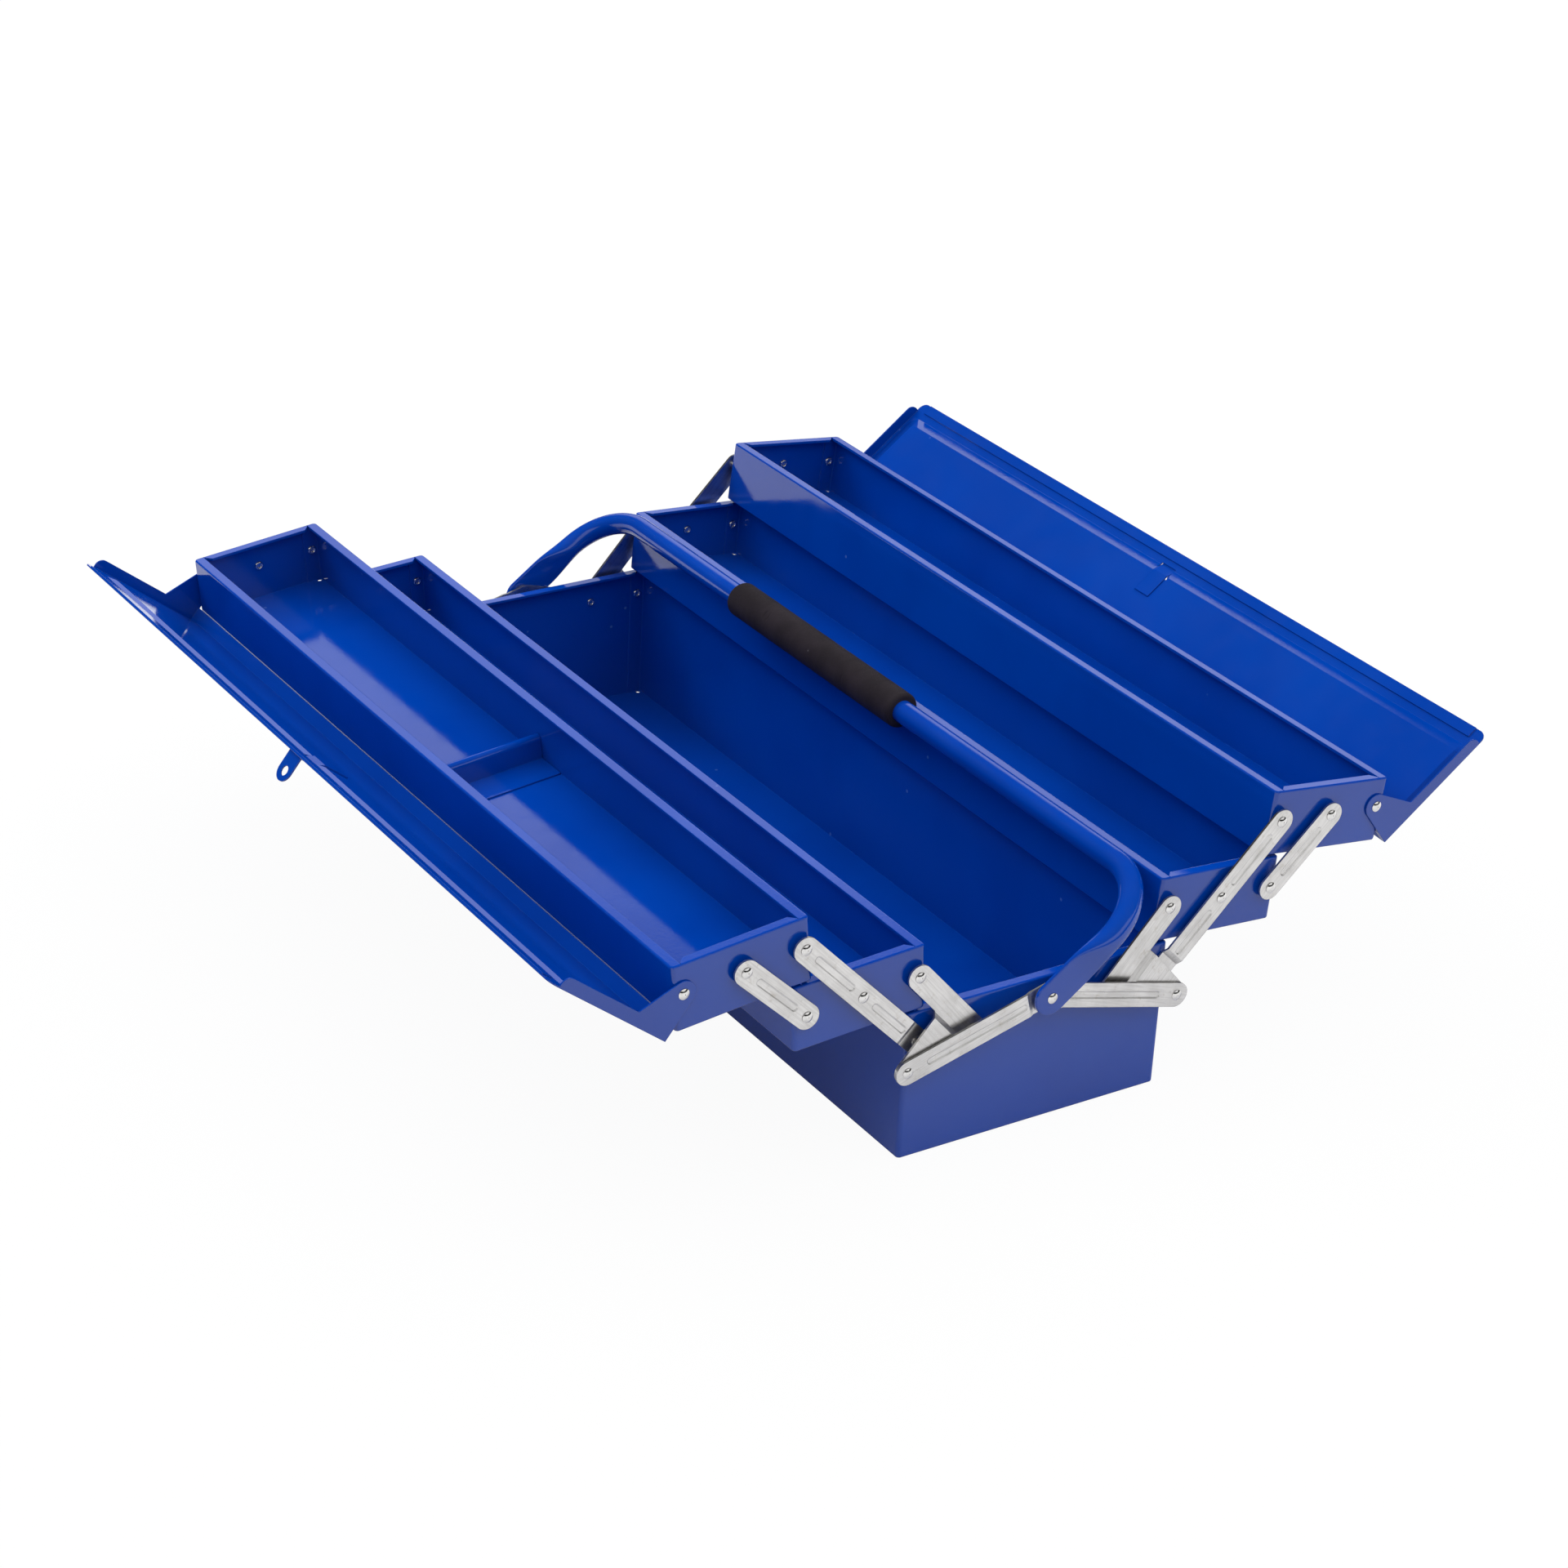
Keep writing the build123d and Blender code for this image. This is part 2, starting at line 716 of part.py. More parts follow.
def handle_grip():
    """A soft sleeve round the straight of the tube, moved along it as the photograph shows."""
    plane = handle_plane()
    start = plane.origin + plane.y_dir * handle_rise + plane.x_dir * (grip_shift - grip_length / 2)
    end = Plane(origin=start, x_dir=plane.y_dir, z_dir=plane.x_dir)
    with BuildPart() as grip:
        with BuildSketch(end):
            Circle(grip_radius)
        extrude(amount=grip_length)
        fillet(grip.edges().filter_by(GeomType.CIRCLE), grip_edge)
        with BuildSketch(end):
            Circle(tube_radius + running_fit)
        extrude(amount=grip_length, mode=Mode.SUBTRACT)
    return grip


# ---------------------------------------------------------------- divider

def tray_divider():
    """A partition across the front upper tray, with a rolled top and a wide foot."""
    span = tray_width - 2 * sheet - 2 * divider_play
    roll_height = divider_height - divider_roll
    with BuildPart() as divider:
        with BuildSketch(Plane.XZ):
            with BuildLine() as spine:
                Polyline((divider_foot, sheet / 2), (0, sheet / 2), (0, roll_height))
                CenterArc((-divider_roll, roll_height), divider_roll, 0, 180)
                Line((-2 * divider_roll, roll_height), (-2 * divider_roll, roll_height - divider_roll))
            trace(spine.line, line_width=sheet)
        extrude(amount=span / 2, both=True)
    front_floor = upper_tray_plane.offset(sheet)
    return mirrored(placed(divider.part, front_floor).part, Plane.XZ)


# ------------------------------------------------------------------ pieces

pieces = {}


def keep(name, piece):
    piece.part.label = name
    pieces[name] = piece.part


def keep_pair(name, back_piece):
    """A back piece, and its mirror image as the front piece."""
    keep("back_" + name, back_piece)
    keep("front_" + name, mirrored(back_piece.part, Plane.XZ))


def keep_four(name, back_near_piece):
    """A back near-end piece, and its mirror images at the other three places."""
    far = mirrored(back_near_piece.part, Plane.YZ)
    keep("back_near_" + name, back_near_piece)
    keep("back_far_" + name, far)
    keep("front_near_" + name, mirrored(back_near_piece.part, Plane.XZ))
    keep("front_far_" + name, mirrored(far.part, Plane.XZ))


base_holes = [(side * y, z) for side in (-1, 1) for y, z in base_pivots]
arm_shoulder = arm_layer - side_play
base_rivets = []
for side in (-1, 1):
    base_rivets.append(pivot_rivet((side * arm_base[0], arm_base[1]),
                                   inner_layer - side_play, body_width))
    base_rivets.append(pivot_rivet((side * crank_base[0], crank_base[1]),
                                   arm_shoulder, body_width))
keep("base_box", placed(folded_box(body_width, base_height, base_holes), base_plane))
keep("base_pivot_rivets", rivet_group(base_rivets, base_plane))

lower_box = folded_box(tray_width, tray_height, lower_pivots)
upper_box = folded_box(tray_width, tray_height, upper_pivots + [upper_lid_pivot])
lower_rivets = [pivot_rivet(pivot, arm_shoulder, tray_width) for pivot in lower_pivots]
upper_rivets = [pivot_rivet(pivot, arm_shoulder, tray_width) for pivot in upper_pivots]
keep_pair("lower_tray", placed(lower_box, lower_tray_plane))
keep_pair("upper_tray", placed(upper_box, upper_tray_plane))
keep_pair("lower_tray_rivets", rivet_group(lower_rivets, lower_tray_plane))
keep_pair("upper_tray_rivets", rivet_group(upper_rivets, upper_tray_plane))
keep_pair("lid_rivets", rivet_group([lid_rivet(upper_lid_pivot)], upper_tray_plane))
keep("tray_divider", tray_divider())

keep_four("long_arm", long_arm())
keep_four("short_arm", short_arm())
keep_four("crank", crank())
inner_link = handle_link(-link_set)
outer_link = handle_link(link_set)
keep("back_near_link", outer_link)
keep("back_far_link", mirrored(outer_link.part, Plane.YZ))
front_link = mirrored(inner_link.part, Plane.XZ)
keep("front_near_link", front_link)
keep("front_far_link", mirrored(front_link.part, Plane.YZ))
keep_pair("link_rivets", placed(both_ends(link_rivet_head()), Plane.XY))
keep_pair("crank_rivets", placed(both_ends(crank_rivet_tail()), Plane.XY))
keep("handle_rivets", placed(both_ends(handle_rivet()), Plane.XY))
keep("handle_tube", handle_tube())
keep("handle_grip", handle_grip())

keep_pair("lid", lid())
keep_pair("padlock_eye", padlock_eye())

os.makedirs("parts", exist_ok=True)
for name, part in pieces.items():
    export_step(part, "parts/" + name + ".step")
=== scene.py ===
import bpy
import bmesh
import json
from math import ceil, cos, exp, hypot, pi, radians, sin
from mathutils import Matrix, Vector, noise as turbulence


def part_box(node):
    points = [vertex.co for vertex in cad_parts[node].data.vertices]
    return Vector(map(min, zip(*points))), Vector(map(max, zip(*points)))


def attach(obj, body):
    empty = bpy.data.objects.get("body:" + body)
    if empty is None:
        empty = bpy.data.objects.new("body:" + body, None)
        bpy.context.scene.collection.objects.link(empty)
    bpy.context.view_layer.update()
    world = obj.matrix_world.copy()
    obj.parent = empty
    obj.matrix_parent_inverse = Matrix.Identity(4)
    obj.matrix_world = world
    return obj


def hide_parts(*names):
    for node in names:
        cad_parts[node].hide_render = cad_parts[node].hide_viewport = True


# Dressing for an open cantilever tool box: blue enamelled sheet steel, bright
# zinc-plated strips, domed rivets, and a hooped handle with a dark foam grip.
# Lengths are in metres. X runs along the box, -Y is the front half and Z is up.

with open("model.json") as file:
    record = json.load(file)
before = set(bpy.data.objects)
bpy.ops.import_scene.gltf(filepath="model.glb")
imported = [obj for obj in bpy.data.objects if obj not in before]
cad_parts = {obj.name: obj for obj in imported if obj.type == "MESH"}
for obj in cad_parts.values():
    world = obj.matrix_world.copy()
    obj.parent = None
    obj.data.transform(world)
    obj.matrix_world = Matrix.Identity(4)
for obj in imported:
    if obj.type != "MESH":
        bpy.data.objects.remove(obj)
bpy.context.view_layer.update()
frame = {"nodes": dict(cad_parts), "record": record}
nodes = frame["nodes"]

# Camera, fitted to the photograph's edges. Angles are in degrees and the sensor in
# millimetres; distance, across and up are from the middle of the base's underside.
IMAGE_SIZE = 1920
SENSOR = 36.0
FOCAL_PIXELS = 4729.5
CAMERA_AZIMUTH = 56.18
CAMERA_ELEVATION = 26.81
CAMERA_ROLL = 3.144
CAMERA_DISTANCE = 2.69845
CAMERA_ACROSS = 0.020746
CAMERA_UP = 0.080602
CAMERA_REACH = 60.0

# Studio floor: its colour, the greyer one that it bounces onto the box, and how white the
# camera and the reflections see it
FLOOR_SIZE = 24.0
FLOOR_DROP = 0.0004
FLOOR_COLOUR = (0.86, 0.86, 0.86, 1)
FLOOR_BOUNCE = (0.5, 0.5, 0.5, 1)
FLOOR_WHITE = 0.95
FLOOR_WHITE_IN_GLOSS = 0.10

# Sky: how strongly it lights the box from a low direction and from a high one
SKY_WHITE = (1, 1, 1, 1)
SKY_LOW = 0.3
SKY_HIGH = 0.8
SKY_LOW_LIGHT = 0.3
SKY_HIGH_LIGHT = 1.45

# What bright surfaces reflect: a dark room with a band of white low at the back and the near
# end. Each pair is where a soft edge of the band begins and ends; the slant lowers its top
# towards the back.
ROOM_GLOSS = 0.03
BAND_FOOT = (0.20, 0.26)
BAND_TOP = (0.55, 0.61)
BAND_SLANT = 0.6
BAND_SLANT_TOP = (0.79, 0.84)
BAND_SIDE = (0.05, 0.20)

# Lamps: name, place, width and height, power
LAMP_TARGET = (0, 0, 0.1)
LAMPS = (("left_softbox", (-2.35, -1.1, 1.95), (2.2, 1.4), 29),
         ("back_softbox", (0, 3.2, 0.7), (4.6, 1.2), 43))

# The part of a noise's range that is spread over a whole mix or a whole run of gloss
CLOUDS = (0.35, 0.65)
WIDE_CLOUDS = (0.3, 0.7)
NONE_TO_ALL = (0.0, 1.0)
ALL_TO_NONE = (1.0, 0.0)

# Worn edges, and painted shade along the zinc strips' edges and grooves: how far, as a cosine,
# the bevelled normal turns before an edge shows, and how patchy the wear and the painted shade
# are
BEVEL_SAMPLES = 6
EDGE_TURN = (0.99, 0.80)
EDGE_PATCHES = (0.35, 0.62)
LEAST_EDGE = 0.25

# Handling marks: how much of its cell a speck takes, above which draw a cell has one, and how
# the scuffs are stretched, turned and thinned out
SPECK_SIZE = (0.05, 0.09)
SPECK_DRAW = (0.90, 0.92)
SCUFF_STRETCH = (0.25, 1.0, 1.6)
SCUFF_TURN = (0.4, 0.7, 0.5)
SCUFF_LEVEL = (0.66, 0.74)

# Blue enamel: colours, then how strongly each effect shows
ENAMEL_DEEP = (0.0, 0.050, 0.40, 1)
ENAMEL_LIGHT = (0.0, 0.058, 0.44, 1)
ENAMEL_THIN = (0.012, 0.10, 0.56, 1)
ENAMEL_SPECK = (0.10, 0.20, 0.55, 1)
ENAMEL_EDGE = 0.0007
ENAMEL_IOR = 1.6
ENAMEL_GLOSS = (0.06, 0.11)
HANDLE_GLOSS = (0.08, 0.13)
ENAMEL_THIN_SHARE = 0.55
ENAMEL_SPECK_SHARE = 0.5
ENAMEL_SCUFF_DULLS = 0.05
DRIFT_SCALE = 9.0
RIPPLE_SCALE = 60.0
PEEL_SCALE = 520.0
PEEL_STRENGTH = 0.07
PEEL_DEPTH = 0.0004

# Zinc on rolled strip: colours, then its lines, stains, and worn edges darkened with painted
# shade along edges and grooves
ZINC_DULL = (0.63, 0.62, 0.61, 1)
ZINC_BRIGHT = (0.73, 0.72, 0.71, 1)
ZINC_LINE = (0.46, 0.45, 0.44, 1)
ZINC_SPECK = (0.42, 0.41, 0.40, 1)
ZINC_STAIN = (0.42, 0.38, 0.33, 1)
# Worn-edge colour that also serves as painted shade along the strips' edges and pressed grooves
ZINC_RUB_AND_GROOVE_SHADE = (0.26, 0.255, 0.26, 1)
ZINC_EDGE = 0.0005
ZINC_GLOSS = (0.24, 0.31)
ZINC_CLOUD_SCALE = 70.0
ZINC_SPECK_SHARE = 0.35
# How much of the worn-edge colour and painted edge and groove shade goes on
ZINC_RUB_AND_SHADE_SHARE = 0.8
LINE_SCALE = 900.0
LINE_STRETCH = 0.96
LINE_LEVEL = (0.40, 0.66)
LINE_SHARE = (0.0, 0.42)
LINE_DULLS = 0.08
LINE_STRENGTH = 0.10
LINE_DEPTH = 0.0002
STAIN_SCALE = 160.0
STAIN_LEVEL = (0.56, 0.72)
STAIN_SHARE = (0.0, 0.45)

# Rivets
RIVET_DULL = (0.66, 0.65, 0.64, 1)
RIVET_BRIGHT = (0.76, 0.75, 0.74, 1)
RIVET_SCUFF = (0.45, 0.44, 0.43, 1)
RIVET_EDGE = 0.00025
RIVET_GLOSS = (0.07, 0.14)
RIVET_WEAR_SCALE = 500.0
RIVET_SCUFF_SHARE = 0.3

# Foam of the grip
FOAM_DARK = (0.018, 0.013, 0.018, 1)
FOAM_LIGHT = (0.026, 0.019, 0.026, 1)
FOAM_DUST = (0.075, 0.067, 0.078, 1)
FOAM_SPECK = (0.16, 0.15, 0.17, 1)
FOAM_PATCH_SCALE = 45.0
FOAM_PATCHES = (0.35, 0.7)
FOAM_DUST_SHARE = 0.25
FOAM_SPECK_SHARE = 0.5
FOAM_ROUGHNESS = (0.62, 0.8)
FOAM_SPECULAR = 0.3
PORE_SCALE = 1400.0
PORE_STRENGTH = 0.25
PORE_DEPTH = 0.0002

# Lids: their lean in degrees when open, and the border round the raised field, measured from
# the free edge and from the ends
LID_LEAN = 37.65
LID_BORDER = 0.014
LID_END_BORDER = 0.0035
LID_STEP_RUN = 0.007
LID_STEP_RISE = 0.0033

# Handle: a hoop of round tube, flattened at its two feet. Heights are from its pivots, and
# the steps are the stations along the foot, leg, bend and half of the top.
HANDLE_RISE = 0.0955
HANDLE_BEND = 0.045
TUBE_RADIUS = 0.008
PADDLE_THICKNESS = 0.003
PADDLE_WIDTH = 0.0245
PADDLE_EDGE = 0.0014
FLARE_START = 0.022
FLARE_END = 0.056
RIVET_HOLE = 0.00205
HOLE_SIDES = 32
DRILL_LENGTH = 4 * PADDLE_THICKNESS
QUARTER_POINTS = 10
FOOT_STEPS = 12
LEG_STEPS = 30
BEND_STEPS = 28
TOP_STEPS = 8
SHARP_EDGE = 38

# Foam grip: radii of its bore and rounded ends, the mesh's fineness, and its soft surface
GRIP_BORE = 0.00805
GRIP_ROUND = 0.0026
GRIP_ROUND_STEPS = 8
GRIP_TURNS = 112
GRIP_STEP = 0.0005
RIPPLE_DEPTH = 0.00011
RIPPLE_PITCH = 0.0047
RIPPLE_ROUND = 0.7
LUMP_DEPTH = 0.00010
LUMP_SIZE = 0.024

# Nicks in the foam, all near one side of it, in degrees round. Each one's distance from the
# far end, its angle past that side in radians, its bow, and its share of the full depth.
NICK_SIDE = 140
NICK_DEPTH = 0.0007
NICK_WIDTH = 0.0007
NICK_SPREAD = 0.24
NICKS = ((0.046, 0.0, 0.012, 1.0), (0.051, 0.0, -0.010, 1.0), (0.150, 0.5, 0.008, 0.5))


# ------------------------------------------------------------------ camera

def aim_camera():
    """A camera where the photograph was taken from, tilted as it was."""
    azimuth = radians(CAMERA_AZIMUTH)
    elevation = radians(CAMERA_ELEVATION)
    roll = radians(CAMERA_ROLL)
    back = Vector((sin(azimuth) * cos(elevation), -cos(azimuth) * cos(elevation), sin(elevation)))
    level = Vector((cos(azimuth), sin(azimuth), 0))
    upright = back.cross(level)
    right = cos(roll) * level + sin(roll) * upright
    up = -sin(roll) * level + cos(roll) * upright
    place = CAMERA_ACROSS * right + CAMERA_UP * up + CAMERA_DISTANCE * back
    lens = bpy.data.cameras.new("photo_camera")
    lens.sensor_width = SENSOR
    lens.lens = FOCAL_PIXELS / IMAGE_SIZE * SENSOR
    lens.clip_end = CAMERA_REACH
    camera = bpy.data.objects.new("photo_camera", lens)
    turn = Matrix((right, up, back)).transposed()
    camera.matrix_world = Matrix.Translation(place) @ turn.to_4x4()
    bpy.context.collection.objects.link(camera)
    bpy.context.scene.camera = camera


# ------------------------------------------------------------- node helpers

def new_material(name):
    """An empty material and its node tree."""
    material = bpy.data.materials.new(name)
    material.use_nodes = True
    tree = material.node_tree
    tree.nodes.clear()
    return material, tree


def link(tree, start, end):
    tree.links.new(start, end)


def feed(tree, value, socket):
    """Set a socket to a number, colour or vector, or link another node's output to it."""
    if isinstance(value, (float, int, tuple)):
        socket.default_value = value
    else:
        link(tree, value, socket)


def add_node(tree, kind, **values):
    """A node with its own settings given by name."""
    node = tree.nodes.new(kind)
    for key, value in values.items():
        setattr(node, key, value)
    return node


def arithmetic(tree, operation, *values):
    node = add_node(tree, "ShaderNodeMath", operation=operation)
    for socket, value in zip(node.inputs, values):
        feed(tree, value, socket)
    return node.outputs[0]


def dot_product(tree, first, second):
    node = add_node(tree, "ShaderNodeVectorMath", operation="DOT_PRODUCT")
    feed(tree, first, node.inputs[0])
    feed(tree, second, node.inputs[1])
    return node.outputs["Value"]


def noise(tree, place, scale, detail=2.0, roughness=0.5):
    """A noise mask."""
    node = add_node(tree, "ShaderNodeTexNoise")
    link(tree, place, node.inputs["Vector"])
    feed(tree, scale, node.inputs["Scale"])
    node.inputs["Detail"].default_value = detail
    node.inputs["Roughness"].default_value = roughness
    return node.outputs["Fac"]


def remap(tree, value, given, wanted, smooth=True):
    """A value's run from one pair of numbers to another, eased at both ends or straight."""
    node = add_node(tree, "ShaderNodeMapRange")
    if smooth:
        node.interpolation_type = "SMOOTHSTEP"
    link(tree, value, node.inputs["Value"])
    for label, number in zip(("From Min", "From Max", "To Min", "To Max"), (*given, *wanted)):
        node.inputs[label].default_value = number
    return node.outputs["Result"]


def mix_colour(tree, mask, first, second):
    """The second colour over the first where the mask is 1."""
    node = add_node(tree, "ShaderNodeMix", data_type="RGBA")
    factor, first_colour, second_colour, result = 0, 6, 7, 2
    feed(tree, mask, node.inputs[factor])
    feed(tree, first, node.inputs[first_colour])
    feed(tree, second, node.inputs[second_colour])
    return node.outputs[result]


def bump(tree, height, strength, depth, normal=None):
    """A bumped normal, on top of another one where it is given."""
    node = add_node(tree, "ShaderNodeBump")
    node.inputs["Strength"].default_value = strength
    node.inputs["Distance"].default_value = depth
    link(tree, height, node.inputs["Height"])
    if normal is not None:
        link(tree, normal, node.inputs["Normal"])
    return node.outputs["Normal"]


def mix_shaders(tree, mask, first, second):
    node = add_node(tree, "ShaderNodeMixShader")
    for socket, output in zip(node.inputs, (mask, first, second)):
        link(tree, output, socket)
    return node.outputs[0]


def surface(tree, **values):
    """The material's own shader, its sockets given by name with underscores for spaces."""
    shader = add_node(tree, "ShaderNodeBsdfPrincipled")
    for key, value in values.items():
        feed(tree, value, shader.inputs[key.replace("_", " ")])
    output = add_node(tree, "ShaderNodeOutputMaterial")
    link(tree, shader.outputs[0], output.inputs["Surface"])


# ------------------------------------------------------------------ studio

def reflected_ray(tree, path):
    """Where light reaches the eye by reflection or through glass."""
    return arithmetic(tree, "MAXIMUM", path.outputs["Is Glossy Ray"],
                      path.outputs["Is Transmission Ray"])


def lay_floor():
    """A pale floor, seen white by the camera; reflections see it lit, with the box's shadow."""
    material, tree = new_material("studio_floor")
    path = add_node(tree, "ShaderNodeLightPath")
    shine = arithmetic(tree, "MULTIPLY", reflected_ray(tree, path), FLOOR_WHITE_IN_GLOSS)
    white = arithmetic(tree, "MULTIPLY_ADD", path.outputs["Is Camera Ray"], FLOOR_WHITE, shine)
    matte = add_node(tree, "ShaderNodeBsdfDiffuse")
    link(tree, mix_colour(tree, path.outputs["Is Diffuse Ray"], FLOOR_COLOUR, FLOOR_BOUNCE),
         matte.inputs["Color"])
    glow = add_node(tree, "ShaderNodeEmission")
    output = add_node(tree, "ShaderNodeOutputMaterial")
    link(tree, mix_shaders(tree, white, matte.outputs[0], glow.outputs[0]),
         output.inputs["Surface"])
    half = FLOOR_SIZE / 2
    mesh = bpy.data.meshes.new("studio_floor")
    mesh.from_pydata([(-half, -half, 0), (half, -half, 0), (half, half, 0), (-half, half, 0)],
                     [], [(0, 1, 2, 3)])
    mesh.materials.append(material)
    floor = bpy.data.objects.new("studio_floor", mesh)
    floor.location.z = -FLOOR_DROP
    bpy.context.collection.objects.link(floor)


def white_band(tree, split):
    """How bright the room is in a reflection: dark, with a white band low at the back."""
    height = split.outputs["Z"]
    foot = remap(tree, height, BAND_FOOT, NONE_TO_ALL)
    top = remap(tree, height, BAND_TOP, ALL_TO_NONE)
    slanted = arithmetic(tree, "MULTIPLY_ADD", split.outputs["Y"], BAND_SLANT, height)
    lowered = remap(tree, slanted, BAND_SLANT_TOP, ALL_TO_NONE)
    beside = arithmetic(tree, "MAXIMUM", split.outputs["X"], split.outputs["Y"])
    side = remap(tree, beside, BAND_SIDE, NONE_TO_ALL)
    band = arithmetic(tree, "MULTIPLY", arithmetic(tree, "MULTIPLY", foot, top),
                      arithmetic(tree, "MULTIPLY", lowered, side))
    return arithmetic(tree, "MULTIPLY_ADD", band, 1.0 - ROOM_GLOSS, ROOM_GLOSS)


def light_world():
    """A white sky that lights matt surfaces, a dark room for bright ones, and a white view."""
    world = bpy.data.worlds.new("studio")
    world.use_nodes = True
    tree = world.node_tree
    tree.nodes.clear()
    place = add_node(tree, "ShaderNodeTexCoord")
    split = add_node(tree, "ShaderNodeSeparateXYZ")
    link(tree, place.outputs["Generated"], split.inputs[0])
    sky = add_node(tree, "ShaderNodeBackground")
    room = add_node(tree, "ShaderNodeBackground")
    view = add_node(tree, "ShaderNodeBackground")
    for shade in (sky, room, view):
        shade.inputs["Color"].default_value = SKY_WHITE
    light = remap(tree, split.outputs["Z"], (SKY_LOW, SKY_HIGH), (SKY_LOW_LIGHT, SKY_HIGH_LIGHT))
    link(tree, light, sky.inputs["Strength"])
    link(tree, white_band(tree, split), room.inputs["Strength"])
    path = add_node(tree, "ShaderNodeLightPath")
    unseen = mix_shaders(tree, reflected_ray(tree, path), sky.outputs[0], room.outputs[0])
    output = add_node(tree, "ShaderNodeOutputWorld")
    link(tree, mix_shaders(tree, path.outputs["Is Camera Ray"], unseen, view.outputs[0]),
         output.inputs["Surface"])
    bpy.context.scene.world = world


def hang_lamp(name, place, size, power):
    """A softbox that lights matt surfaces and is seen neither directly nor in a reflection."""
    lamp = bpy.data.lights.new(name, "AREA")
    lamp.shape = "RECTANGLE"
    lamp.size = size[0]
    lamp.size_y = size[1]
    lamp.energy = power
    holder = bpy.data.objects.new(name, lamp)
    holder.location = place
    holder.visible_camera = False
    holder.visible_glossy = False
    aim = Vector(LAMP_TARGET) - Vector(place)
    holder.rotation_euler = aim.to_track_quat("-Z", "Y").to_euler()
    bpy.context.collection.objects.link(holder)


# ------------------------------------------------------- shared paint effects

def new_group(name, inputs, outputs):
    """An empty shader group with named sockets."""
    group = bpy.data.node_groups.new(name, "ShaderNodeTree")
    for label, kind in inputs:
        group.interface.new_socket(label, in_out="INPUT", socket_type=kind)
    for label, kind in outputs:
        group.interface.new_socket(label, in_out="OUTPUT", socket_type=kind)
    return group, add_node(group, "NodeGroupInput"), add_node(group, "NodeGroupOutput")


def place_group(tree, name, **values):
    """A shared effect in a material, its inputs set by name, with underscores for spaces."""
    node = add_node(tree, "ShaderNodeGroup", node_tree=effects[name])
    for key, value in values.items():
        feed(tree, value, node.inputs[key.replace("_", " ")])
    return node.outputs


def edge_wear():
    """Where the metal turns an edge: a mask, and the normal of the eased edge."""
    group, given, result = new_group(
        "edge_wear",
        [("Vector", "NodeSocketVector"), ("Width", "NodeSocketFloat"),
         ("Breakup", "NodeSocketFloat")],
        [("Mask", "NodeSocketFloat"), ("Normal", "NodeSocketVector")])
    bevel = add_node(group, "ShaderNodeBevel", samples=BEVEL_SAMPLES)
    link(group, given.outputs["Width"], bevel.inputs["Radius"])
    face = add_node(group, "ShaderNodeNewGeometry")
    turned = dot_product(group, bevel.outputs["Normal"], face.outputs["Normal"])
    edge = remap(group, turned, EDGE_TURN, NONE_TO_ALL)
    patches = noise(group, given.outputs["Vector"], given.outputs["Breakup"])
    broken = remap(group, patches, EDGE_PATCHES, (LEAST_EDGE, 1.0))
    # The mask marks worn edges; on the zinc it also lays painted shade along edges and grooves
    link(group, arithmetic(group, "MULTIPLY", edge, broken), result.inputs["Mask"])
    link(group, bevel.outputs["Normal"], result.inputs["Normal"])
    return group


def lengthwise_streaks():
    """Fine lines drawn along a strip by the rolls that made it."""
    group, given, result = new_group(
        "lengthwise_streaks",
        [("Vector", "NodeSocketVector"), ("Along", "NodeSocketVector"),
         ("Fineness", "NodeSocketFloat"), ("Stretch", "NodeSocketFloat")],
        [("Mask", "NodeSocketFloat")])
    run = dot_product(group, given.outputs["Vector"], given.outputs["Along"])
    pulled = add_node(group, "ShaderNodeVectorMath", operation="SCALE")
    link(group, given.outputs["Along"], pulled.inputs[0])
    link(group, arithmetic(group, "MULTIPLY", run, given.outputs["Stretch"]),
         pulled.inputs["Scale"])
    place = add_node(group, "ShaderNodeVectorMath", operation="SUBTRACT")
    link(group, given.outputs["Vector"], place.inputs[0])
    link(group, pulled.outputs["Vector"], place.inputs[1])
    lines = noise(group, place.outputs["Vector"], given.outputs["Fineness"], detail=3.0,
                  roughness=0.6)
    link(group, lines, result.inputs["Mask"])
    return group


def handling_marks():
    """Sparse specks and short scuffs left by use."""
    group, given, result = new_group(
        "handling_marks",
        [("Vector", "NodeSocketVector"), ("Speck Scale", "NodeSocketFloat"),
         ("Scuff Scale", "NodeSocketFloat")],
        [("Specks", "NodeSocketFloat"), ("Scuffs", "NodeSocketFloat")])
    cells = add_node(group, "ShaderNodeTexVoronoi")
    link(group, given.outputs["Vector"], cells.inputs["Vector"])
    link(group, given.outputs["Speck Scale"], cells.inputs["Scale"])
    dots = remap(group, cells.outputs["Distance"], SPECK_SIZE, ALL_TO_NONE)
    chance = add_node(group, "ShaderNodeSeparateColor")
    link(group, cells.outputs["Color"], chance.inputs[0])
    rare = remap(group, chance.outputs[0], SPECK_DRAW, NONE_TO_ALL)
    link(group, arithmetic(group, "MULTIPLY", dots, rare), result.inputs["Specks"])
    drawn = add_node(group, "ShaderNodeMapping", vector_type="POINT")
    drawn.inputs["Scale"].default_value = SCUFF_STRETCH
    drawn.inputs["Rotation"].default_value = SCUFF_TURN
    link(group, given.outputs["Vector"], drawn.inputs["Vector"])
    rubs = noise(group, drawn.outputs["Vector"], given.outputs["Scuff Scale"], detail=5.0,
                 roughness=0.65)
    link(group, remap(group, rubs, SCUFF_LEVEL, NONE_TO_ALL), result.inputs["Scuffs"])
    return group


effects = {"edge_wear": edge_wear(), "lengthwise_streaks": lengthwise_streaks(),
           "handling_marks": handling_marks()}


# --------------------------------------------------------------- materials

def object_place(tree):
    return add_node(tree, "ShaderNodeTexCoord").outputs["Object"]


def masked_colour(tree, mask, share, colour, over):
    """A colour laid over another by a share of a mask."""
    return mix_colour(tree, arithmetic(tree, "MULTIPLY", mask, share), colour, over)


